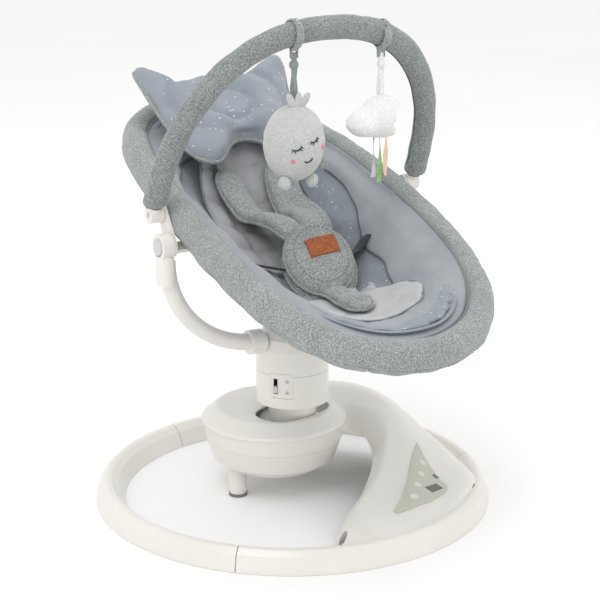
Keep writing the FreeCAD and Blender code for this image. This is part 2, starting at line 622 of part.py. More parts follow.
loops = []
hang = {}
for toy, x in TOYS.items():
    top = bar_to_world(x, bar_height(x) - BAR_N)
    drop = BAR_R + 13.0
    pin_at = V(x, top.y, top.z - drop)
    hang[toy] = pin_at
    band = cylinder(BAR_R + 5.2, 12, (x - 6, top.y, top.z), (1, 0, 0))
    band = band.fuse(block((12, 7, 20), (x, top.y, top.z - BAR_R - 8)))
    band = band.cut(on_bar(bar_skin))
    band = band.cut(block((6.4, 20, 14), (x, top.y, pin_at.z - 1.2)))
    axle_pin = cylinder(1.5, 12, (x - 6, top.y, pin_at.z), (1, 0, 0))
    loops.append(fuse([max(band.Solids, key=lambda s: s.Volume), axle_pin]))
save("toy_loops", group(loops))


def strap(pin_at, length):
    eye = cylinder(3.4, 6, (pin_at.x - 3, pin_at.y, pin_at.z), (1, 0, 0))
    band = block((6, 3, length), (pin_at.x, pin_at.y, pin_at.z - length / 2 - 1.5))
    return fuse([eye, band]).cut(cylinder(1.5 + RUN, 8, (pin_at.x - 4, pin_at.y, pin_at.z), (1, 0, 0)))


def ball(radii, centre):
    unit = Part.makeSphere(1.0)
    m = FreeCAD.Matrix()
    m.scale(radii[0], radii[1], radii[2])
    out = unit.transformGeometry(m)
    out.translate(V(*centre))
    return out


egg_pin = hang["egg"]
EGG_STRAP = 62.0
egg_centre = (egg_pin.x, egg_pin.y, egg_pin.z - EGG_STRAP - 50)
egg = ball((41, 37, 50), egg_centre)
save("egg_strap", strap(egg_pin, EGG_STRAP + 4).cut(egg))
save("egg_plush", egg)
trim = []
for dx, lean in ((-8, -24), (3, 4), (12, 28)):
    leaf = ball((5, 2, 11), (0, 0, 9))
    leaf.rotate(V(0, 0, 0), Y_AXIS, lean)
    leaf.translate(V(egg_centre[0] + dx * 0.8, egg_centre[1] - 6, egg_centre[2] + 47))
    trim.append(leaf)
for dx in (-22, 20):
    trim.append(ball((8, 9, 9), (egg_centre[0] + dx, egg_centre[1] - 12, egg_centre[2] - 47)))
trim.append(ball((9, 4, 11), (egg_centre[0] + 38, egg_centre[1] - 4, egg_centre[2] - 26)))
trim = [t.cut(egg).cut(strap(egg_pin, EGG_STRAP + 4)) for t in trim]
save("egg_trim", group([max(t.Solids, key=lambda s: s.Volume) for t in trim]))

cloud_pin = hang["cloud"]
CLOUD_STRAP = 56.0
cloud_c = (cloud_pin.x, cloud_pin.y, cloud_pin.z - CLOUD_STRAP - 26)
cloud = fuse([ball((22, 14, 18), (cloud_c[0] - 21, cloud_c[1], cloud_c[2] - 6)),
              ball((25, 15, 27), (cloud_c[0] - 2, cloud_c[1], cloud_c[2])),
              ball((21, 14, 20), (cloud_c[0] + 20, cloud_c[1], cloud_c[2] - 5)),
              ball((34, 12, 13), (cloud_c[0], cloud_c[1], cloud_c[2] - 13))])
save("cloud_strap", strap(cloud_pin, CLOUD_STRAP + 4).cut(cloud))
save("cloud_plush", cloud)
ribbons = [block((6, 1.2, 56 - 6 * abs(k)), (cloud_c[0] + 9 * k, cloud_c[1], cloud_c[2] - 50 + 3 * abs(k)))
           for k in (-1, 0, 1)]
save("cloud_ribbons", group([r.cut(cloud) for r in ribbons]))
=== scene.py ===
import math

import bpy
import numpy as np
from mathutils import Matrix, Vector
from mathutils.bvhtree import BVHTree


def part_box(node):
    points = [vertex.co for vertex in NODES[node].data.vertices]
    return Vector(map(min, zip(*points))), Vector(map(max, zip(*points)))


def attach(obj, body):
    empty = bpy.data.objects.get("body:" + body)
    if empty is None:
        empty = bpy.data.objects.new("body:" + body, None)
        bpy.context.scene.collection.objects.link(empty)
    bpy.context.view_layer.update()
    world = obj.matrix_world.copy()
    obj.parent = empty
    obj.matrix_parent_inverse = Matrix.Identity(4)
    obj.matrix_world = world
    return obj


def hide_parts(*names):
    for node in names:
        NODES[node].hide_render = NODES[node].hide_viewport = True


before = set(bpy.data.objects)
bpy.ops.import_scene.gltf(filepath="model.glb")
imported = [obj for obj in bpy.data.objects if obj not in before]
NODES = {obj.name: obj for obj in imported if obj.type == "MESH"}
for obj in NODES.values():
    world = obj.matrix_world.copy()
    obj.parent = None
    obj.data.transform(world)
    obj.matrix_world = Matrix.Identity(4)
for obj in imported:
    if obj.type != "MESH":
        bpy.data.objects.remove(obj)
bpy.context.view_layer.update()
TILT = math.radians(18.5)     # recline of the seat at rest
SEAT_Z = 0.412                # height of the seat frame's origin above the floor, m
HARNESS_X = 10.0              # how far the harness sits to the side of the middle, mm
scene = bpy.context.scene


# ---------------------------------------------------------------- seat frame: x, m towards the head, n up
def to_seat(p):
    """World metres to seat millimetres."""
    p = np.asarray(p, float) * 1000
    y, z = p[..., 1], p[..., 2] - SEAT_Z * 1000
    return np.stack([p[..., 0], y * math.cos(TILT) + z * math.sin(TILT),
                     z * math.cos(TILT) - y * math.sin(TILT)], -1)


def to_world(q):
    """Seat millimetres to world metres."""
    q = np.asarray(q, float)
    m, n = q[..., 1], q[..., 2]
    return np.stack([q[..., 0], m * math.cos(TILT) - n * math.sin(TILT),
                     SEAT_Z * 1000 + m * math.sin(TILT) + n * math.cos(TILT)], -1) / 1000


def ripple(p, length, seed, count=7):
    """Smooth random field in -1..1 with features of about the given length, same units as p."""
    rng = np.random.default_rng(seed)
    total = np.zeros(p.shape[0])
    for _ in range(count):
        k = rng.normal(size=3)
        k *= (0.7 + 0.6 * rng.random()) * 2 * math.pi / length / np.linalg.norm(k)
        total += np.sin(p @ k + rng.random() * 6.28)
    return total / count * 1.6


def ridge(p, length, seed):
    """Like ripple, but with narrow raised creases."""
    return 1 - 2 * np.abs(ripple(p, length, seed)) ** 0.7


def bell(d, width):
    """1 at d = 0, falling away over the width."""
    return np.exp(-(d / width) ** 2)


def smooth_step(v, low, high):
    """0 below low, 1 above high, an S curve between."""
    t = np.clip((v - low) / (high - low), 0, 1)
    return t * t * (3 - 2 * t)


# ---------------------------------------------------------------- mesh helpers
def coords(mesh):
    out = np.empty(len(mesh.vertices) * 3)
    mesh.vertices.foreach_get("co", out)
    return out.reshape(-1, 3)


def normals(mesh):
    out = np.empty(len(mesh.vertices) * 3)
    mesh.vertices.foreach_get("normal", out)
    return out.reshape(-1, 3)


def set_coords(mesh, co):
    mesh.vertices.foreach_set("co", np.asarray(co, float).ravel())
    mesh.update()


def finish_piece(obj, body, mat):
    """Shade smooth, give the one material, and ride on the body."""
    for poly in obj.data.polygons:
        poly.use_smooth = True
    obj.data.materials.clear()
    obj.data.materials.append(mat)
    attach(obj, body)
    return obj


def make(name, verts, faces, body, mat):
    """New piece from world points in metres."""
    mesh = bpy.data.meshes.new(name)
    mesh.from_pydata([tuple(v) for v in verts], [], faces)
    mesh.update()
    obj = bpy.data.objects.new(name, mesh)
    scene.collection.objects.link(obj)
    return finish_piece(obj, body, mat)


def modify(obj, kind, **settings):
    """Run one modifier and keep its result as the mesh."""
    mod = obj.modifiers.new("step", kind)
    for key, value in settings.items():
        setattr(mod, key, value)
    graph = bpy.context.evaluated_depsgraph_get()
    mesh = bpy.data.meshes.new_from_object(obj.evaluated_get(graph))
    obj.modifiers.clear()
    old = obj.data
    obj.data = mesh
    bpy.data.meshes.remove(old)


def soft_copy(name, node, voxel):
    """Evenly meshed, slightly rounded copy of a CAD node, to be shaped as cloth."""
    source = NODES[node]
    obj = bpy.data.objects.new(name, source.data.copy())
    scene.collection.objects.link(obj)
    modify(obj, "REMESH", mode="VOXEL", voxel_size=voxel, use_smooth_shade=True)
    modify(obj, "SMOOTH", factor=0.6, iterations=6)
    return obj


PUFF_PRESSURE = 4.0
PUFF_FRAMES = 10


def puff(obj, cap):
    """Blow the closed mesh up a little as cloth, moving no point further than cap metres."""
    before = coords(obj.data).copy()
    mod = obj.modifiers.new("puff", "CLOTH")
    cloth = mod.settings
    cloth.quality = 4
    cloth.mass = 0.25
    cloth.tension_stiffness = cloth.compression_stiffness = cloth.shear_stiffness = 8
    cloth.bending_stiffness = 0.3
    cloth.use_pressure = True
    cloth.uniform_pressure_force = PUFF_PRESSURE
    cloth.effector_weights.gravity = 0
    mod.collision_settings.use_collision = False
    mod.point_cache.frame_end = PUFF_FRAMES
    for number in range(1, PUFF_FRAMES + 1):
        scene.frame_set(number)
    graph = bpy.context.evaluated_depsgraph_get()
    after = coords(obj.evaluated_get(graph).data).copy()
    obj.modifiers.clear()
    scene.frame_set(1)
    move = after - before
    far = np.linalg.norm(move, axis=1, keepdims=True)
    move *= np.minimum(1, cap / np.maximum(far, 1e-9))
    set_coords(obj.data, before + move)


def sculpt(obj, shape):
    """Push each point along its normal by shape(seat coordinates, normal), in mm."""
    mesh = obj.data
    co, nor = coords(mesh), normals(mesh)
    set_coords(mesh, co + nor * (shape(to_seat(co), nor) / 1000)[:, None])


def sweep(points, radius, sides=8, closed=False, flat=1.0):
    """Tube along a line of world points; flat squashes it in one direction."""
    pts = [Vector(p) for p in points]
    count = len(pts)
    verts, faces = [], []
    up = Vector((0.13, 0.21, 0.97))      # no line here starts along this direction
    for i, p in enumerate(pts):
        ahead = pts[(i + 1) % count] if closed or i < count - 1 else p
        behind = pts[i - 1] if closed or i > 0 else p
        along = (ahead - behind).normalized()
        side = along.cross(up).normalized()
        up = side.cross(along).normalized()
        for k in range(sides):
            a = 2 * math.pi * k / sides
            verts.append(p + side * (math.cos(a) * radius) + up * (math.sin(a) * radius * flat))
    for i in range(count if closed else count - 1):
        j = (i + 1) % count
        for k in range(sides):
            l = (k + 1) % sides
            faces.append((i * sides + k, i * sides + l, j * sides + l, j * sides + k))
    if not closed:
        faces.append(tuple(reversed(range(sides))))
        faces.append(tuple(range((count - 1) * sides, count * sides)))
    return verts, faces


def dashes(points, radius, dash=3.4, gap=2.6):
    """Stitches: short threads along a line of world points in metres."""
    pts = np.asarray([tuple(p) for p in points])
    steps = np.linalg.norm(np.diff(pts, axis=0), axis=1) * 1000
    run = np.concatenate([[0], np.cumsum(steps)])
    verts, faces = [], []
    s = 0.0
    while s + dash < run[-1]:
        line = [[np.interp(s + dash * t, run, pts[:, k]) for k in range(3)] for t in (0, 0.5, 1)]
        v, f = sweep(line, radius, 5)
        faces += [tuple(i + len(verts) for i in face) for face in f]
        verts += v
        s += dash + gap
    return verts, faces


def smooth_loop(pts, closed, times=4):
    """Average each point with its neighbours, over and over."""
    pts = np.asarray(pts, float)
    for _ in range(times):
        if closed:
            pts = (np.roll(pts, 1, 0) + pts * 2 + np.roll(pts, -1, 0)) / 4
        else:
            pts[1:-1] = (pts[:-2] + pts[1:-1] * 2 + pts[2:]) / 4
    return pts


def resample(pts, count, closed=False):
    """The same line with evenly spaced points."""
    pts = np.asarray(pts, float)
    if closed:
        pts = np.vstack([pts, pts[:1]])
    run = np.concatenate([[0], np.cumsum(np.linalg.norm(np.diff(pts, axis=0), axis=1))])
    at = np.linspace(0, run[-1], count, endpoint=not closed)
    return np.stack([np.interp(at, run, pts[:, k]) for k in range(pts.shape[1])], -1)


def piping(name, line, radius, mat, sides=8):
    """Cord sewn along a closed line in seat millimetres; the radius is in metres."""
    return make(name, *sweep(to_world(line), radius, sides, True), "seat", mat)


# ---------------------------------------------------------------- materials
BLACK, WHITE = (0, 0, 0, 1), (1, 1, 1, 1)
STAR_COLOUR = (226, 230, 233)
STAR_LAYERS = ((95.0, 0.105, 0.0), (68.0, 0.065, 3.7))      # cells per metre, spot size, shift
TONE_SPREAD = 0.04            # how much darker the darker tone of a hard surface is


def lin(r, g, b):
    """sRGB bytes to a linear colour with alpha."""
    channels = [((c / 255 + 0.055) / 1.055) ** 2.4 if c > 10 else c / 255 / 12.92 for c in (r, g, b)]
    return tuple(channels) + (1.0,)


def add(tree, kind, props=None, **ins):
    """New shader node. Its inputs are set or linked by name, or by number as i0, i1 and so on."""
    node = tree.nodes.new("ShaderNode" + kind)
    for key, value in (props or {}).items():
        setattr(node, key, value)
    for key, value in ins.items():
        socket = node.inputs[int(key[1:])] if key[0] == "i" and key[1:].isdigit() else node.inputs[key]
        if isinstance(value, bpy.types.NodeSocket):
            tree.links.new(value, socket)
        else:
            socket.default_value = value
    return node


def start_material(name):
    mat = bpy.data.materials.new(name)
    mat.use_nodes = True
    tree = mat.node_tree
    place = add(tree, "TexCoord").outputs["Object"]
    return mat, tree, tree.nodes["Principled BSDF"], place


def ramp(tree, value, stops):
    node = add(tree, "ValToRGB", i0=value)
    band = node.color_ramp
    while len(band.elements) < len(stops):
        band.elements.new(0.5)
    for element, (at, colour) in zip(band.elements, stops):
        element.position = at
        element.color = colour
    return node.outputs[0]


def mix(tree, fac, a, b, blend="MIX"):
    node = add(tree, "Mix", {"data_type": "RGBA", "blend_type": blend}, i0=fac)
    for socket, value in ((node.inputs[6], a), (node.inputs[7], b)):
        if isinstance(value, bpy.types.NodeSocket):
            tree.links.new(value, socket)
        else:
            socket.default_value = value
    return node.outputs[2]


def star_mask(tree, place, cells, size, shift, where):
    """1 inside scattered dots. If where is given, only where it is under a half."""
    moved = add(tree, "VectorMath", {"operation": "ADD"}, i0=place, i1=(shift, shift, 0))
    cell = add(tree, "TexVoronoi", Vector=moved.outputs[0], Scale=cells)
    spot = add(tree, "Math", {"operation": "LESS_THAN"}, i0=cell.outputs["Distance"], i1=size)
    if where is None:
        return spot.outputs[0]
    outside = add(tree, "Math", {"operation": "LESS_THAN"}, i0=where, i1=0.5)
    both = add(tree, "Math", {"operation": "MULTIPLY"}, i0=spot.outputs[0], i1=outside.outputs[0])
    return both.outputs[0]


def cloth_material(name, dark, mid, light, grain=480, weave=900, bump=0.5, sheen=0.25, stars=False,
                   crease=0.0, zones=None):
    """Cloth flecked in three tones, with bumps for threads, fuzz and creases.

    grain and weave are per metre. zones holds the plain and the pale colour of a mesh's zone attribute.
    """
    mat, tree, bsdf, place = start_material(name)
    fleck = add(tree, "TexNoise", Vector=place, Scale=grain, Detail=4.0, Roughness=0.72)
    colour = ramp(tree, fleck.outputs[0], [(0.33, lin(*dark)), (0.5, lin(*mid)), (0.66, lin(*light))])
    patch = add(tree, "TexNoise", Vector=place, Scale=22.0, Detail=2.0)
    shade = ramp(tree, patch.outputs[0], [(0.3, (0.88, 0.88, 0.89, 1)), (0.7, WHITE)])
    colour = mix(tree, 1.0, colour, shade, "MULTIPLY")
    where = None
    if zones:
        where = add(tree, "Attribute", {"attribute_name": "zone"}).outputs["Fac"]
        plain, pale = zones
        colour = mix(tree, ramp(tree, where, [(0.45, BLACK), (0.55, WHITE)]), colour, lin(*plain))
        colour = mix(tree, ramp(tree, where, [(0.9, BLACK), (0.97, WHITE)]), colour, lin(*pale))
    if stars:
        for cells, size, shift in STAR_LAYERS:
            colour = mix(tree, star_mask(tree, place, cells, size, shift, where), colour, lin(*STAR_COLOUR))
    tree.links.new(colour, bsdf.inputs["Base Color"])
    thread = add(tree, "TexVoronoi", Vector=place, Scale=float(weave))
    fuzz = add(tree, "TexNoise", Vector=place, Scale=grain * 0.5, Detail=3.0)
    normal = add(tree, "Bump", Strength=bump, Distance=0.0007, Height=thread.outputs["Distance"]).outputs[0]
    normal = add(tree, "Bump", Strength=bump * 0.6, Distance=0.0012, Height=fuzz.outputs[0],
                 Normal=normal).outputs[0]
    if crease:
        warp = add(tree, "TexNoise", Vector=place, Scale=26.0, Detail=3.0, Roughness=0.45, Distortion=0.8)
        normal = add(tree, "Bump", Strength=crease, Distance=0.006, Height=warp.outputs[0],
                     Normal=normal).outputs[0]
    tree.links.new(normal, bsdf.inputs["Normal"])
    bsdf.inputs["Roughness"].default_value = 0.92
    bsdf.inputs["Sheen Weight"].default_value = sheen
    bsdf.inputs["Sheen Roughness"].default_value = 0.5
    bsdf.inputs["Specular IOR Level"].default_value = 0.15
    return mat


def hard_material(name, colour, rough=0.35, metal=0.0, grain=900, bump=0.04, coat=0.0):
    """Moulded, painted or bare metal surface with a faint tone, gloss and skin of its own."""
    mat, tree, bsdf, place = start_material(name)
    tone = add(tree, "TexNoise", Vector=place, Scale=14.0, Detail=3.0)
    base = lin(*colour)
    low = tuple(c * (1 - TONE_SPREAD) for c in base[:3]) + (1.0,)
    tree.links.new(ramp(tree, tone.outputs[0], [(0.3, low), (0.7, base)]), bsdf.inputs["Base Color"])
    wear = add(tree, "TexNoise", Vector=place, Scale=60.0, Detail=4.0)
    gloss = add(tree, "MapRange", Value=wear.outputs[0], i3=rough * 0.85, i4=rough * 1.15)
    tree.links.new(gloss.outputs[0], bsdf.inputs["Roughness"])
    skin = add(tree, "TexNoise", Vector=place, Scale=float(grain), Detail=2.0)
    tree.links.new(add(tree, "Bump", Strength=bump, Distance=0.0004, Height=skin.outputs[0]).outputs[0],
                   bsdf.inputs["Normal"])
    bsdf.inputs["Metallic"].default_value = metal
    bsdf.inputs["Coat Weight"].default_value = coat
    return mat


KNIT = {"grain": 520, "weave": 620, "bump": 0.7}
PRINT = {"grain": 1500, "weave": 1300, "bump": 0.25, "stars": True}
JERSEY = {"grain": 1300, "weave": 1200, "bump": 0.25}
PILE = {"bump": 1.0, "sheen": 0.6}
SATIN = {"grain": 1500, "weave": 1500}
PLAIN_TONE, PALE_TONE = (150, 156, 163), (190, 191, 193)

MELANGE = cloth_material("melange_knit", (108, 115, 114), (150, 156, 155), (192, 196, 194), **KNIT)
BAR_KNIT = cloth_material("bar_knit", (98, 104, 104), (138, 144, 143), (180, 184, 182), **KNIT)
PIPING = cloth_material("dark_piping", (70, 76, 82), (92, 99, 106), (120, 126, 132), grain=900, bump=0.4)
STAR = cloth_material("star_print", (132, 139, 149), (146, 153, 162), (158, 165, 173), crease=0.55,
                      zones=(PLAIN_TONE, PALE_TONE), **PRINT)
PLAIN = cloth_material("plain_jersey", (144, 149, 155), (156, 161, 167), (168, 173, 178), crease=0.4,
                       **JERSEY)
PILLOW_CLOTH = cloth_material("pillow_print", (136, 142, 152), (150, 156, 165), (162, 168, 176), crease=0.5,
                              **PRINT)
INSERT = cloth_material("insert_jersey", (156, 156, 160), (170, 170, 174), (183, 183, 187), crease=0.6,
                        **JERSEY)
PALE = cloth_material("pale_jersey", (176, 177, 179), PALE_TONE, (202, 203, 204), grain=1200, weave=1200,
                      bump=0.25, crease=0.7)
WEBBING = cloth_material("webbing", (34, 38, 42), (54, 60, 65), (76, 82, 86), grain=900, weave=420, bump=0.8)
STRAP = cloth_material("grey_strap", (120, 130, 131), (140, 150, 150), (160, 168, 168), grain=900, weave=520,
                       bump=0.7)
PLUSH = cloth_material("plush", (172, 174, 171), (196, 198, 195), (214, 215, 213), grain=620, weave=520,
                       **PILE)
WHITE_PLUSH = cloth_material("white_plush", (224, 224, 222), (240, 240, 238), (250, 250, 249), grain=520,
                             weave=420, **PILE)
CHEEK = cloth_material("cheek_felt", (205, 120, 122), (218, 136, 138), (228, 152, 153), grain=900)
THREAD = cloth_material("dark_thread", (26, 28, 30), (36, 38, 40), (52, 54, 56), grain=1500)
SEWING = cloth_material("sewing_thread", (110, 117, 119), (126, 133, 134), (150, 155, 156), grain=1500)
LILAC = cloth_material("lilac_ribbon", (206, 206, 220), (216, 217, 228), (228, 228, 236), **SATIN)
GREEN = cloth_material("green_ribbon", (132, 186, 104), (150, 200, 120), (170, 214, 142), **SATIN)
PEACH = cloth_material("peach_ribbon", (240, 190, 150), (250, 212, 184), (252, 224, 204), **SATIN)
LEATHER = cloth_material("tan_leather", (140, 80, 52), (166, 98, 66), (184, 116, 82), grain=260, weave=700,
                         bump=0.5, sheen=0.0)
PLASTIC = hard_material("warm_white_plastic", (230, 227, 221), 0.32, coat=0.15)
COATED = hard_material("coated_tube", (230, 227, 222), 0.3, coat=0.25)
COLD_GREY = hard_material("grey_plastic", (202, 202, 206), 0.45)
FILM = hard_material("panel_film", (196, 198, 184), 0.4, grain=1500)
KEY = hard_material("touch_key", (222, 222, 214), 0.35)
CLEAR = hard_material("smoked_window", (70, 72, 70), 0.15, coat=0.6)
DARK = hard_material("dark_plastic", (58, 60, 62), 0.5, bump=0.1)
STEEL = hard_material("steel", (176, 176, 178), 0.3, metal=1.0)
RUBBER = hard_material("rubber", (120, 120, 122), 0.8, bump=0.3)

FINISHES = {
    PLASTIC: ("front_shell", "left_ring_tube", "right_ring_tube", "housing_tray", "support_legs",
              "column_neck", "column_skirt", "column_head", "switch_plate", "yoke_collars", "left_knuckle",
              "right_knuckle", "seat_brackets", "toy_bar_ends"),
    COATED: ("left_yoke_tube", "right_yoke_tube"),
    COLD_GREY: ("ring_spigots", "slot_cover", "left_recline_button", "right_recline_button",
                "turn_lock_slider"),
    FILM: ("control_panel",),
    KEY: ("touch_keys",),
    CLEAR: ("display_window", "infrared_window"),
    DARK: ("bearing_blocks", "gearbox", "control_board", "loudspeaker", "power_socket", "rocker",
           "harness_buckle"),
    STEEL: ("chassis_plate", "drive_motor", "tray_screws", "crank", "swing_axle", "plate_screws",
            "seat_frame", "toy_bar_tube"),
    RUBBER: ("rubber_feet",),
    STAR: ("seat_shell",),
}
for finish, names in FINISHES.items():
    for node_name in names:
        NODES[node_name].data.materials.clear()
        NODES[node_name].data.materials.append(finish)

# ---------------------------------------------------------------- rim: padded ring with seams
rim = soft_copy("rim_padding", "rim_cover", 0.005)
rim_co = to_seat(coords(rim.data))
MID_M = float((rim_co[:, 1].max() + rim_co[:, 1].min()) / 2)
HALF_X, HALF_M = float(rim_co[:, 0].max()), float(rim_co[:, 1].max() - MID_M)


def rim_angle(p):
    """Angle round the rim: 0 at the foot end, a quarter turn at +x."""
    return np.arctan2(p[:, 0] / HALF_X, -(p[:, 1] - MID_M) / HALF_M)


BINS = 72                     # stretches of the rim that its centre line is averaged over
slots = ((rim_angle(rim_co) + math.pi) / (2 * math.pi) * BINS).astype(int) % BINS
centres = [(rim_co[slots == b].max(0) + rim_co[slots == b].min(0)) / 2 for b in range(BINS)]
centres = smooth_loop(centres, True, 3)


def rim_section(p):
    """Angle round the padding's own section: 0 outwards, a quarter turn up."""
    t = (rim_angle(p) + math.pi) / (2 * math.pi) * BINS - 0.5
    low = np.floor(t).astype(int)
    f = (t - low)[:, None]
    c = centres[low % BINS] * (1 - f) + centres[(low + 1) % BINS] * f
    out = p[:, :2] - np.array([0, MID_M])
    reach = np.linalg.norm(out, axis=1) - np.linalg.norm(c[:, :2] - np.array([0, MID_M]), axis=1)
    return np.arctan2(p[:, 2] - c[:, 2], reach)


CROSS_SEAMS = (-0.42, 0.98, 2.5, -2.4)                         # angles round the rim
RIM_REACH = 260                                                # mm of rim to one unit of that angle
OUTER_GROOVE, OUTER_STITCH, INNER_SEAM = -0.62, -0.36, 2.45    # angles round its section


def rim_shape(p, nor):
    angle, around = rim_angle(p), rim_section(p)
    depth = -2.6 * bell(around - OUTER_GROOVE, 0.10) + 1.4 * bell(around - OUTER_STITCH, 0.2)
    depth -= 2.4 * bell(around - INNER_SEAM, 0.12)
    for seam in CROSS_SEAMS:
        beyond = (angle - seam) * RIM_REACH
        depth -= 2.6 * bell(beyond, 3.0)
        depth += 1.2 * bell(beyond, 16) * ripple(p, 18, 4)
    pull = ripple(np.stack([angle * RIM_REACH, around * 12, angle * 0], -1), 46, 11)
    return depth + 1.3 * pull * bell(around + 0.6, 0.8) + 0.9 * ripple(p, 60, 3) + 0.5 * ripple(p, 22, 5)


sculpt(rim, rim_shape)
modify(rim, "SUBSURF", levels=1)
finish_piece(rim, "seat", MELANGE)
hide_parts("rim_cover")

rim_co = to_seat(coords(rim.data))
rim_ang, rim_sec = rim_angle(rim_co), rim_section(rim_co)


RIM_LINE_POINTS = 240
RIM_LINE_WIDTH = 0.12         # how far either side of the section angle its points are averaged


def rim_line(around):
    """Closed line on the padding at one angle of its section."""
    pts = []
    for k in range(RIM_LINE_POINTS):
        angle = -math.pi + 2 * math.pi * (k + 0.5) / RIM_LINE_POINTS
        beside = np.abs(rim_ang - angle) < 2.4 * math.pi / RIM_LINE_POINTS
        near = beside & (np.abs(rim_sec - around) < RIM_LINE_WIDTH)
        if near.any():
            pts.append(rim_co[near].mean(0))
    return smooth_loop(pts, True, 6)


edge = rim_line(OUTER_STITCH)
lift_out = edge - np.array([0, MID_M, 0])
lift_out /= np.linalg.norm(lift_out, axis=1)[:, None]
stitched = to_world(np.vstack([edge + lift_out * 0.4, edge[:1]]))
make("rim_stitching", *dashes(stitched, 0.0006), "seat", SEWING)
inner = rim_line(INNER_SEAM)
piping("rim_inner_piping", inner, 0.0022, SEWING)

# ---------------------------------------------------------------- liner
liner = soft_copy("liner_padding", "seat_liner", 0.005)


def wall_depth(m):
    """How far below the rim the liner is gathered."""
    return 30 + 40 * smooth_step(-m, -70, 60) - 22 * smooth_step(-m, 90, 170)


def liner_rim_height(p):
    angle = rim_angle(p)
    t = (angle + math.pi) / (2 * math.pi) * BINS - 0.5
    low = np.floor(t).astype(int) % BINS
    return centres[low][:, 2] - 4


def liner_band(p):
    return (liner_rim_height(p) - p[:, 2]) - wall_depth(p[:, 1])


def liner_shape(p, nor):
    inside = to_seat(nor * 0.001 + np.array([0, 0, SEAT_Z]))[:, 2] > -0.2      # faces up from the seat
    rest = 2.6 * ripple(p, 95, 21) + 1.5 * ripple(p, 42, 22)
    angle = rim_angle(p)
    gather = bell(liner_band(p) - 10, 14) * np.sin(angle * 60 + 2 * ripple(p, 60, 23))
    return np.where(inside, rest + 1.1 * gather, 0)


sculpt(liner, liner_shape)
modify(liner, "SUBSURF", levels=1)
finish_piece(liner, "seat", STAR)
local = to_seat(coords(liner.data))
PRINT_ZONE, PALE_ZONE = 0.2, 1.0
PALE_M, PALE_N = -110, -60    # the pale cloth is nearer the foot and lower than this
zone = np.where((local[:, 1] < PALE_M) & (local[:, 2] < PALE_N), PALE_ZONE, PRINT_ZONE)
liner.data.attributes.new("zone", "FLOAT", "POINT").data.foreach_set("value", zone.astype(float))
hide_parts("seat_liner")


def surface_tree(*nodes):
    """Surfaces in seat millimetres, for finding heights on them."""
    verts, faces = [], []
    for item in nodes:
        mesh = item.data
        base = len(verts)
        verts += [tuple(v) for v in to_seat(coords(mesh))]
        faces += [tuple(base + i for i in poly.vertices) for poly in mesh.polygons]
    return BVHTree.FromPolygons(verts, faces)


wall = surface_tree(liner)
floor_tree = surface_tree(liner)


def floor_height(x, m):
    hit = floor_tree.ray_cast(Vector((float(x), float(m), 90.0)), Vector((0, 0, -1)))
    return hit[0].z if hit[0] else 0.0


EDGE = 0.34                   # how much of its thickness a cushion keeps at its sewn edge
SLUMP = 0.55                  # under 1, the crown stays full until near the edge
CUSHION_SIDES = 96
CUSHION_RINGS = 14


def cushion(name, outline, thick, lift, mat, floor=floor_height, shape=None):
    """A sewn cushion over a plan outline (x, m), lying on the floor of the seat; returns its edge too."""
    outline = smooth_loop(resample(outline, CUSHION_SIDES, True), True, 2)
    middle = outline.mean(0)
    sides, rings = CUSHION_SIDES, CUSHION_RINGS
    grow = [(r / rings) ** 0.8 for r in range(rings + 1)]
    plan = [[middle + (outline[k] - middle) * f for k in range(sides)] for f in grow]
    smooth = np.array([[floor(x, m) for x, m in row] for row in plan])
    for _ in range(10):
        smooth = (smooth * 2 + np.roll(smooth, 1, 1) + np.roll(smooth, -1, 1)) / 4
        smooth[1:-1] = (smooth[:-2] + smooth[1:-1] * 2 + smooth[2:]) / 4
    verts, faces = [], []
    for on_top in (True, False):
        for r, f in enumerate(grow):
            bulge = thick * (EDGE + (1 - EDGE) * max(0.0, 1 - f ** 4) ** SLUMP)
            for k, (x, m) in enumerate(plan[r]):
                verts.append((x, m, smooth[r, k] + lift + (bulge if on_top else -0.1 * thick)))
    layer = (rings + 1) * sides
    for start in (0, layer):
        for r in range(rings):
            for k in range(sides):
                a, b = start + r * sides + k, start + r * sides + (k + 1) % sides
                face = (a, b, b + sides, a + sides)
                faces.append(face if start else tuple(reversed(face)))
    last = rings * sides
    for k in range(sides):
        after = last + (k + 1) % sides
        faces.append((last + k, layer + last + k, layer + after, after))
    obj = make(name, to_world(np.array(verts)), faces, "seat", mat)
    modify(obj, "WELD", merge_threshold=0.0004)
    modify(obj, "REMESH", mode="VOXEL", voxel_size=0.0035, use_smooth_shade=True)
    if shape:
        sculpt(obj, shape)
    modify(obj, "SMOOTH", factor=0.5, iterations=3)
    modify(obj, "SUBSURF", levels=1)
    for poly in obj.data.polygons:
        poly.use_smooth = True
    sewn_edge = [(x, m, smooth[rings, k] + lift + 0.12 * thick) for k, (x, m) in enumerate(outline)]
    return obj, np.array(sewn_edge)


# ---------------------------------------------------------------- tufted insert and seat pad
def insert_shape(p, nor):
    u, v = p[:, 0] / 40, (p[:, 1] - 10) / 46
    tuft = np.abs(np.sin(math.pi * u) * np.sin(math.pi * v)) ** 0.45
    up = nor[:, 2] > 0.2
    return np.where(up, 8.5 * tuft - 6.5 + 1.4 * ripple(p, 38, 31) + 0.7 * ridge(p, 24, 33), 0.3)


def ellipse(centre, half_x, half_m, power=0.85):
    """Outline a little squarer than an ellipse."""
    pts = []
    for k in range(48):
        a = 2 * math.pi * k / 48
        c, d = math.cos(a), math.sin(a)
        pts.append((centre[0] + half_x * math.copysign(abs(c) ** power, c),
                    centre[1] + half_m * math.copysign(abs(d) ** power, d)))
    return pts


def insert_floor(x, m):
    return floor_height(x, m) + 34 * float(smooth_step(m, 90, 178))


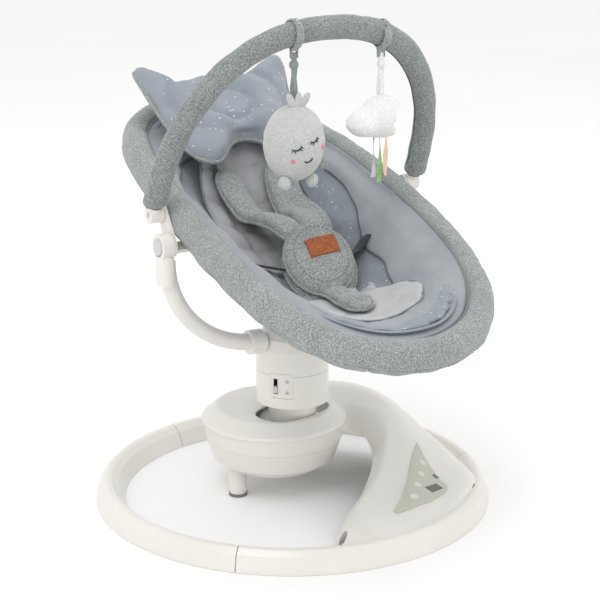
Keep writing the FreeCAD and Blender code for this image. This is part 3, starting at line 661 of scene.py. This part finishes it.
insert, insert_edge = cushion("insert_padding", ellipse((2, 40), 84, 164), 15, 2, INSERT, insert_floor,
                              shape=insert_shape)
piping("insert_piping", insert_edge, 0.0013, SEWING, 6)
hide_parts("back_insert")


def bolster_shape(p, nor):
    angle = np.arctan2(p[:, 0], -(p[:, 1] + 60))
    folds = np.sin(angle * 30 + 2.4 * ripple(p, 50, 41))
    return 0.9 * folds * smooth_step(-p[:, 1], 150, 200) + 0.9 * ripple(p, 36, 42)


foot_plan = [(-88, -160), (-90, -200), (-66, -234), (0, -248), (66, -234), (90, -200), (88, -160),
             (60, -124), (0, -104), (-62, -124)]
bolster, bolster_edge = cushion("foot_padding", foot_plan, 15, 3, PALE, shape=bolster_shape)
piping("foot_piping", bolster_edge + np.array([0, 0, 2.0]), 0.0013, SEWING, 6)
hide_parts("foot_bolster")
floor_tree = surface_tree(liner, insert, bolster)

# ---------------------------------------------------------------- plain band between the rim and the liner
BAND_M = (-400, -200, -140, -90, -60, -20, 60, 150, 400)      # places along the seat
BAND_DEPTH = (54, 54, 54, 64, 62, 46, 27, 22, 22)             # how deep the band is there, mm
BAND_RINGS = 14
BAND_GATHER = 0.8


def edge_band(top):
    """The band below a closed line, kept off the liner: its points, its faces and its low edge."""
    turns = len(top)
    away = top - np.array([0, MID_M, 0])
    away[:, 2] = 0
    top_reach = np.linalg.norm(away, axis=1)
    away /= top_reach[:, None]
    depths = smooth_loop(np.interp(top[:, 1], BAND_M, BAND_DEPTH)[:, None], True, 6)[:, 0]
    reach = np.zeros((BAND_RINGS + 1, turns))
    for k in range(turns):
        for r in range(BAND_RINGS + 1):
            middle = Vector((0, MID_M, top[k, 2] - depths[k] * r / BAND_RINGS))
            hit = wall.ray_cast(middle, Vector(away[k]))[0]
            found = (Vector(hit) - middle).length if hit else top_reach[k]
            bulge = 1.8 + 4.0 * math.sin(math.pi * r / BAND_RINGS)
            reach[r, k] = top_reach[k] if r == 0 else min(found - bulge, top_reach[k] + 2)
    for _ in range(4):
        reach[1:-1] = np.minimum(reach[1:-1], (reach[:-2] + reach[1:-1] * 2 + reach[2:]) / 4)
        reach = np.minimum(reach, (np.roll(reach, 1, 1) + reach * 2 + np.roll(reach, -1, 1)) / 4 + 0.2)
    verts, faces = [], []
    steps = np.arange(turns)
    for r in range(BAND_RINGS + 1):
        f = r / BAND_RINGS
        gathers = BAND_GATHER * np.sin(steps * 0.9 + 2 * np.sin(steps * 0.21)) * math.sin(math.pi * f)
        for k in range(turns):
            middle = np.array([0, MID_M, top[k, 2] - depths[k] * f])
            verts.append(tuple(middle + away[k] * (reach[r, k] - gathers[k])))
    for r in range(BAND_RINGS):
        for k in range(turns):
            a, b = r * turns + k, r * turns + (k + 1) % turns
            faces.append((a, b, b + turns, a + turns))
    return verts, faces, smooth_loop(np.array(verts[-turns:]), True, 2) - away * 1.2


band_verts, band_faces, band_low = edge_band(inner)
piping("band_piping", band_low, 0.0013, PIPING, 6)
skirt = make("liner_edge_band", to_world(np.array(band_verts)), band_faces, "seat", PLAIN)
modify(skirt, "SOLIDIFY", thickness=0.003, offset=0)
modify(skirt, "SUBSURF", levels=1)
for poly in skirt.data.polygons:
    poly.use_smooth = True

# ---------------------------------------------------------------- headrest pillow
PILLOW_X, PILLOW_M = 5, 214   # middle of the ring sewn into the pillow
HALF_PILLOW = [(0, 166), (22, 160), (42, 134), (62, 114), (84, 118), (99, 142), (104, 184), (108, 226),
               (118, 268), (124, 292), (110, 298), (86, 284), (58, 282), (28, 290), (0, 294)]
pillow_outline = HALF_PILLOW + [(-x, m) for x, m in reversed(HALF_PILLOW[1:-1])]
pillow_outline = [(x + PILLOW_X, m) for x, m in pillow_outline]


def pillow_floor(x, m):
    """Under the pillow: it leans over the head end of the seat and its ears turn up."""
    near = floor_height(x * 0.6, min(m, 150)) + 4
    slope = 0.17 * (m - 136) + 10
    ear = 30 * max(0.0, (m - 210) / 80) ** 1.5 * min(1.0, abs(x) / 110) ** 2
    return max(slope, near * 0.3) + ear + 0.0006 * x * x


def pillow_shape(p, nor):
    d = np.hypot((p[:, 0] - PILLOW_X) / 1.15, p[:, 1] - PILLOW_M)
    groove = -7 * bell(d - 33, 5) + 7.5 * bell(d - 54, 14) - 6.5 * bell(d - 77, 5)
    open_side = smooth_step(p[:, 1], 150, 175)
    creases = 1.2 * ripple(p, 34, 51) + 1.0 * ridge(p, 52, 52)
    return np.where(nor[:, 2] > 0.1, groove * open_side, 0) + creases


pillow, pillow_edge = cushion("pillow_body", pillow_outline, 30, 6, PILLOW_CLOTH, pillow_floor,
                              shape=pillow_shape)
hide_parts("headrest_pillow")
piping("pillow_piping", smooth_loop(pillow_edge, True, 1), 0.0034, MELANGE)

# ---------------------------------------------------------------- harness
BUCKLE = (HARNESS_X, -72.0)


def capsule(start, end, half):
    """Outline with parallel sides and round ends."""
    a, b = np.array(start, float), np.array(end, float)
    along = (b - a) / np.linalg.norm(b - a)
    side = np.array([-along[1], along[0]])
    pts = []
    for k in range(13):
        t = -math.pi / 2 + math.pi * k / 12
        pts.append(b + half * (math.cos(t) * along + math.sin(t) * side))
    for k in range(13):
        t = math.pi / 2 + math.pi * k / 12
        pts.append(a + half * (math.cos(t) * along + math.sin(t) * side))
    return [tuple(p) for p in pts]


def pad_shape(seed):
    return lambda p, nor: 0.9 * ripple(p, 26, seed) + 0.7 * ripple(p, 14, seed + 1)


def pad_lift(x, m):
    """The shoulder pads rise from the floor to the top of the buckle."""
    return floor_height(x, m) + 5 + 30 * float(smooth_step(-m, -74, 6))


for side, (start, end) in (("left", ((-32, 116), (-8, -16))), ("right", ((50, 118), (32, -16)))):
    pad, edge = cushion("shoulder_pad_" + side, capsule(start, end, 22), 17, 6, MELANGE, pad_lift,
                        shape=pad_shape(60 + start[0]))
    piping("pad_piping_" + side, edge, 0.0023, MELANGE)
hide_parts("shoulder_pads")


def disc(radius, centre):
    return [(centre[0] + radius * math.cos(2 * math.pi * k / 40),
             centre[1] + radius * math.sin(2 * math.pi * k / 40)) for k in range(40)]


NEAR = (-20, 0, 20)
flat_low = max(floor_height(BUCKLE[0] + dx, BUCKLE[1] + dm) for dx in NEAR for dm in NEAR) + 4


def cover_floor(x, m):
    """Under the buckle cover: tilted, and falling away from its middle."""
    dx, dm = x - BUCKLE[0], m - BUCKLE[1]
    return flat_low + 17 + 0.50 * dm + 0.14 * dx - 0.002 * (dx * dx + dm * dm)


def cover_shape(p, nor):
    spread = np.hypot(p[:, 0] - BUCKLE[0], p[:, 1] - BUCKLE[1])
    spokes = np.arctan2(p[:, 1] - BUCKLE[1], p[:, 0] - BUCKLE[0])
    return 0.8 * ripple(p, 30, 71) + 0.9 * bell(spread - 44, 8) * np.sin(spokes * 17 + ripple(p, 30, 72))


_, under_edge = cushion("buckle_pad_under", disc(52, (BUCKLE[0] + 2, BUCKLE[1] - 1)), 12, 0, MELANGE,
                        cover_floor, shape=cover_shape)
cover, cover_edge = cushion("buckle_pad_top", disc(49, (BUCKLE[0] - 1, BUCKLE[1] + 1)), 13, 11, MELANGE,
                            cover_floor, shape=cover_shape)
piping("buckle_piping", cover_edge, 0.002, MELANGE)
piping("buckle_piping_under", under_edge, 0.002, MELANGE)
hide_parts("buckle_cover")

cover_top = surface_tree(cover)


def on_cover(x, m, up):
    """Point above the top of the buckle cover."""
    hit = cover_top.ray_cast(Vector((x, m, 120)), Vector((0, 0, -1)))
    return (x, m, (hit[0].z if hit[0] else 0) + up)


SEWN_RADIUS = 38
sewn = [on_cover(BUCKLE[0] + SEWN_RADIUS * math.cos(a), BUCKLE[1] + SEWN_RADIUS * math.sin(a), 0.3)
        for a in np.linspace(0, 6.28, 90)]
make("buckle_stitching", *dashes(to_world(np.array(sewn)), 0.0006), "seat", SEWING)

PATCH_X, PATCH_M = 45.0, 25.0
PATCH_SHIFT = (4, 6)          # from the middle of the buckle
PATCH_STEPS = (20, 12)
PATCH_LAYERS = (2.4, -0.6)    # heights of its two faces above the cover


def leather_sheet():
    """Closed thin sheet lying on the buckle cover: its points and faces."""
    steps_x, steps_m = PATCH_STEPS
    verts, faces = [], []
    for up in PATCH_LAYERS:
        for i in range(steps_x + 1):
            for j in range(steps_m + 1):
                x = BUCKLE[0] + (i / steps_x - 0.5) * PATCH_X + PATCH_SHIFT[0]
                m = BUCKLE[1] + (j / steps_m - 0.5) * PATCH_M + PATCH_SHIFT[1]
                verts.append(on_cover(x, m, up))
    rows = steps_m + 1
    layer = (steps_x + 1) * rows
    for i in range(steps_x):
        for j in range(steps_m):
            a = i * rows + j
            faces.append((a, a + rows, a + rows + 1, a + 1))
            faces.append(tuple(layer + k for k in (a, a + 1, a + rows + 1, a + rows)))
    loop = [i * rows for i in range(steps_x + 1)] + [steps_x * rows + j for j in range(1, rows)]
    loop += [i * rows + steps_m for i in range(steps_x - 1, -1, -1)] + list(range(steps_m - 1, 0, -1))
    for a, b in zip(loop, loop[1:] + loop[:1]):
        faces.append((b, a, layer + a, layer + b))
    return verts, faces


patch_verts, patch_faces = leather_sheet()
patch = make("patch_leather", to_world(np.array(patch_verts)), patch_faces, "seat", LEATHER)
modify(patch, "BEVEL", width=0.0007, segments=2)
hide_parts("leather_patch")
corners = [(-0.45, -0.42), (0.45, -0.42), (0.45, 0.42), (-0.45, 0.42), (-0.45, -0.42)]
patch_x, patch_m = BUCKLE[0] + PATCH_SHIFT[0], BUCKLE[1] + PATCH_SHIFT[1]
stitch = resample([on_cover(patch_x + a * PATCH_X, patch_m + b * PATCH_M, 2.5) for a, b in corners], 70)
make("patch_stitching", *dashes(to_world(stitch), 0.00045, 2.2, 1.5), "seat", PIPING)


def crotch_shape(p, nor):
    return 2.2 * np.sin(p[:, 1] / 4.6 + ripple(p, 40, 81)) + 0.6 * ripple(p, 15, 82)


crotch_plan = capsule((BUCKLE[0], BUCKLE[1] - 48), (BUCKLE[0] + 2, -172), 20)
crotch, crotch_edge = cushion("crotch_padding", crotch_plan, 13, 5, MELANGE, shape=crotch_shape)
piping("crotch_piping", crotch_edge, 0.002, MELANGE)
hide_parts("crotch_pad")


def belt(name, points, width, mat):
    """Flat webbing laid over plan points (x, m, height above the floor)."""
    pts = resample([(x, m, floor_height(x, m) + up) for x, m, up in points], 36)
    pts = smooth_loop(pts, False, 6)
    return make(name, *sweep(to_world(pts), width / 2000, 10, False, 0.16), "seat", mat)


straps = belt("strap_left", [(-34, 168, 5), (-33, 140, 9), (-28, 112, 12)], 20, STRAP)
belt("strap_right", [(50, 168, 5), (49, 140, 9), (46, 112, 12)], 20, STRAP)
for side in (-1, 1):
    belt("hip_belt_%s" % ("left" if side < 0 else "right"),
         [(side * 98 + 6, -40, 4), (side * 78 + 8, -50, 10), (BUCKLE[0] + side * 40, -60, 10)], 24, WEBBING)
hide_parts("harness_webbing")

# ---------------------------------------------------------------- toy bar, loops and toys
bar = soft_copy("bar_sleeve", "toy_bar_sleeve", 0.004)


def bar_shape(p, nor):
    folds = np.sin(p[:, 2] / 5 + ripple(p, 60, 92) * 2)
    return 0.7 * ripple(p, 40, 91) + 0.5 * folds * bell(p[:, 2] - 30, 40)


sculpt(bar, bar_shape)
modify(bar, "SUBSURF", levels=1)
finish_piece(bar, "toy_bar", BAR_KNIT)
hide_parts("toy_bar_sleeve")
bar_co = to_seat(coords(bar.data))
low_n = bar_co[:, 2].min()
arc = np.arctan2(bar_co[:, 0] / bar_co[:, 0].max(), (bar_co[:, 2] - low_n) / (bar_co[:, 2].max() - low_n))
seam = []
for angle in np.linspace(-1.5, 1.5, 90):
    near = bar_co[np.abs(arc - angle) < 0.03]
    reach = np.hypot(near[:, 0], near[:, 2] - low_n)
    seam.append(near[np.abs(reach - reach.min()) < 2.5].mean(0))
make("bar_seam", *sweep(to_world(smooth_loop(seam, False, 8)), 0.0012, 6), "toy_bar", PIPING)

loops = soft_copy("toy_loop_bands", "toy_loops", 0.002)
finish_piece(loops, "toy_bar", MELANGE)
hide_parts("toy_loops")


TOY_LUMP = 0.6


def soft_toy(name, node, voxel, body, mat, cap):
    """Stuffed toy from its CAD node, blown up by at most cap metres."""
    obj = soft_copy(name, node, voxel)
    puff(obj, cap)
    sculpt(obj, lambda p, nor: TOY_LUMP * ripple(p, 24, 95) + 0.5 * TOY_LUMP * ripple(p, 9, 96))
    modify(obj, "SUBSURF", levels=1)
    finish_piece(obj, body, mat)
    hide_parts(node)
    return obj


egg = soft_toy("egg_body", "egg_plush", 0.003, "egg", PLUSH, 0.0015)
CLOUD_SPREAD = np.array([1.34, 1.25, 1.1])      # the plush stands out beyond its CAD solid
cloud = soft_toy("cloud_body", "cloud_plush", 0.0028, "cloud", WHITE_PLUSH, 0.002)
cloud_co = coords(cloud.data)
cloud_mid = (cloud_co.min(0) + cloud_co.max(0)) / 2
set_coords(cloud.data, cloud_mid + (cloud_co - cloud_mid) * CLOUD_SPREAD)
egg_low, egg_high = (np.array(v) * 1000 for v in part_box("egg_plush"))
egg_mid, egg_r = (egg_low + egg_high) / 2, (egg_high - egg_low) / 2
egg_tree = surface_tree(egg)
ROLL = math.radians(20)       # how far the egg's face is turned
LID, LASH = (6, 4), (9, 7.6)  # half width and depth of a closed eyelid, and of the ends of its lashes


def on_egg(u, v, out=0.4):
    """A point on the egg's face, u to the side and v up, in mm, on the side towards the foot end."""
    x = u * math.cos(ROLL) - v * math.sin(ROLL)
    z = u * math.sin(ROLL) + v * math.cos(ROLL)
    depth = max(0.05, 1 - (x / egg_r[0]) ** 2 - (z / egg_r[2]) ** 2) ** 0.5
    return (np.array([x, -egg_r[1] * depth - out, z]) + egg_mid) / 1000


def face_line(name, pts, radius):
    make(name, *sweep([on_egg(u, v) for u, v in resample(pts, 14)], radius, 6), "egg", THREAD)


def below(u, v, size, a):
    """Point on a hanging curve round (u, v)."""
    return (u + size[0] * math.cos(a), v - size[1] * math.sin(a))


for name, u0, v0 in (("left", -15.0, 6.0), ("right", 11.0, 6.0)):
    face_line("eye_" + name, [below(u0, v0, LID, a) for a in np.linspace(0.2, 2.94, 9)], 0.0009)
    for k, a in enumerate((0.5, 1.0, 2.1, 2.6)):
        face_line("lash_%s_%d" % (name, k), [below(u0, v0, LID, a), below(u0, v0, LASH, a)], 0.0005)
face_line("smile", [below(-5, -15, LID, a) for a in np.linspace(0.3, 2.84, 9)], 0.0009)

BLOB_RINGS, BLOB_SIDES = 16, 24


def blob(name, centre, radii, body, mat, turn=0.0, lump=0.3):
    """Small stuffed ball with the given half sizes in mm, turned sideways."""
    verts, faces = [], []
    for i in range(BLOB_RINGS + 1):
        t = math.pi * i / BLOB_RINGS
        for k in range(BLOB_SIDES):
            a = 2 * math.pi * k / BLOB_SIDES
            x, y = radii[0] * math.sin(t) * math.cos(a), radii[1] * math.sin(t) * math.sin(a)
            z = radii[2] * math.cos(t)
            x, z = x * math.cos(turn) + z * math.sin(turn), z * math.cos(turn) - x * math.sin(turn)
            verts.append(((centre[0] + x) / 1000, (centre[1] + y) / 1000, (centre[2] + z) / 1000))
    for i in range(BLOB_RINGS):
        for k in range(BLOB_SIDES):
            a, b = i * BLOB_SIDES + k, i * BLOB_SIDES + (k + 1) % BLOB_SIDES
            faces.append((a, a + BLOB_SIDES, b + BLOB_SIDES, b))
    obj = make(name, verts, faces, body, mat)
    sculpt(obj, lambda p, nor: lump * ripple(p, 12, 97))
    return obj


for name, u, v in (("left", -23.0, -10.0), ("right", 21.0, -11.0)):
    spot = on_egg(u, v, -1.2) * 1000
    blob("cheek_" + name, spot, (4.0, 2.0, 3.7), "egg", CHEEK, 0, 0.1)
top_z = egg_mid[2] + egg_r[2]
leaf_spots = ((-9, -0.5), (2, 0.05), (12, 0.55))
leaves = [blob("leaf_%d" % k, (egg_mid[0] + dx, egg_mid[1] - 8, top_z + 5), (5.2, 2.4, 11), "egg", PLUSH,
               turn) for k, (dx, turn) in enumerate(leaf_spots)]
for name, dx in (("left", -21), ("right", 20)):
    blob("foot_" + name, (egg_mid[0] + dx, egg_mid[1] - 12, egg_mid[2] - egg_r[2] + 1), (8, 8, 9.5), "egg",
         PLUSH, 0.3 * dx / 20)
blob("wing_right", (egg_mid[0] + 36, egg_mid[1] - 8, egg_mid[2] - 27), (8.5, 3.5, 12), "egg", MELANGE,
     -0.5)
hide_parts("egg_trim")


HANGER_WIDTH = 7.5


def hanger(name, node, body, mat):
    """A doubled strap from the loop to the toy, with a knot near its top."""
    low, high = (np.array(v) * 1000 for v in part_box(node))
    x, y = (low[0] + high[0]) / 2, (low[1] + high[1]) / 2
    for k, shift in enumerate((-1.6, 1.6)):
        line = [((x + shift * math.sin(i / 3.0)) / 1000, (y + shift * 0.8) / 1000, z / 1000)
                for i, z in enumerate(np.linspace(high[2] - 4, low[2] - 2, 20))]
        verts, faces = sweep(line, HANGER_WIDTH / 2000, 10, False, 0.25)
        make("%s_band_%d" % (name, k), verts, faces, body, mat)
    blob(name + "_knot", (x, y, high[2] - 16), (6.2, 5.0, 6.5), body, mat, 0.4, 0.7)
    blob(name + "_eye", (x, y, high[2] - 4), (3.0, 3.6, 4.2), body, mat, 0, 0.2)
    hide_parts(node)


hanger("egg_hanger", "egg_strap", "egg", STRAP)
hanger("cloud_hanger", "cloud_strap", "cloud", WHITE_PLUSH)

rib_low, rib_high = (np.array(v) * 1000 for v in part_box("cloud_ribbons"))
rib_mid = (rib_low + rib_high) / 2
RIBBONS = ((LILAC, "lilac", 58), (GREEN, "green", 66), (PEACH, "peach", 58))      # cloth, name, length
RIBBON_WIDTH = 10.0
RIBBON_SPACING = 9.5
RIBBON_ROWS = 28


def ribbon_mesh(k, drop):
    """Points and faces of ribbon k, which sways and turns a little on its way down."""
    verts, faces = [], []
    for i in range(RIBBON_ROWS + 1):
        z = rib_high[2] + 2 - drop * i / RIBBON_ROWS
        sway = 1.6 * math.sin(i / 4.2 + k * 1.7)
        turn = 0.6 + 0.35 * math.sin(i / 6.0 + k)
        for j in (-0.5, 0, 0.5):
            across = j * RIBBON_WIDTH
            curl = 0.8 * math.cos(j * math.pi)
            x = rib_mid[0] + RIBBON_SPACING * (k - 1) + across * math.cos(turn) + sway * 0.4
            y = rib_mid[1] + across * math.sin(turn) + sway + curl
            verts.append((x / 1000, y / 1000, z / 1000))
    for i in range(RIBBON_ROWS):
        for a in (i * 3, i * 3 + 1):
            faces.append((a, a + 1, a + 4, a + 3))
    return verts, faces


for k, (mat, name, drop) in enumerate(RIBBONS):
    ribbon = make("ribbon_" + name, *ribbon_mesh(k, drop), "cloud", mat)
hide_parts("cloud_ribbons")

# ---------------------------------------------------------------- floor, lights and camera
FLOOR = 20.0                  # half the side of the floor, m


def pale_floor():
    mat, tree, bsdf, place = start_material("pale_floor")
    tone = add(tree, "TexNoise", Vector=place, Scale=1.4, Detail=2.0)
    greys = [(0.3, (0.93, 0.93, 0.93, 1)), (0.7, (0.95, 0.95, 0.95, 1))]
    tree.links.new(ramp(tree, tone.outputs[0], greys), bsdf.inputs["Base Color"])
    bsdf.inputs["Roughness"].default_value = 0.9
    bsdf.inputs["Specular IOR Level"].default_value = 0.1
    mesh = bpy.data.meshes.new("floor")
    mesh.from_pydata([(-FLOOR, -FLOOR, 0), (FLOOR, -FLOOR, 0), (FLOOR, FLOOR, 0), (-FLOOR, FLOOR, 0)], [],
                     [(0, 1, 2, 3)])
    mesh.materials.append(mat)
    floor = bpy.data.objects.new("floor", mesh)
    floor.location.z = -0.0005
    scene.collection.objects.link(floor)


pale_floor()
world = bpy.data.worlds.new("studio")
world.use_nodes = True
sky = world.node_tree.nodes["Background"]
sky.inputs[0].default_value = (1.0, 0.995, 0.985, 1)
sky.inputs[1].default_value = 0.98
scene.world = world


def area_light(name, place, target, size, power):
    data = bpy.data.lights.new(name, "AREA")
    data.energy = power
    data.size = size
    lamp = bpy.data.objects.new(name, data)
    lamp.location = place
    lamp.rotation_euler = (Vector(target) - Vector(place)).to_track_quat("-Z", "Y").to_euler()
    scene.collection.objects.link(lamp)


LIT = (0, 0, 0.3)             # what every light points at
area_light("key", (-1.6, -1.2, 2.9), LIT, 1.6, 26)
area_light("top", (0.6, 0.6, 3.2), LIT, 2.2, 12)
area_light("side", (2.6, -1.4, 1.4), LIT, 1.8, 6)
scene.view_settings.view_transform = "Standard"

camera_data = bpy.data.cameras.new("camera")
camera_data.lens = 96
camera_data.sensor_width = 36
camera = bpy.data.objects.new("camera", camera_data)
camera.location = (-1.092, -1.836, 0.905)
camera.rotation_euler = (math.radians(73.8), 0, math.radians(-31.03))
scene.collection.objects.link(camera)
scene.camera = camera
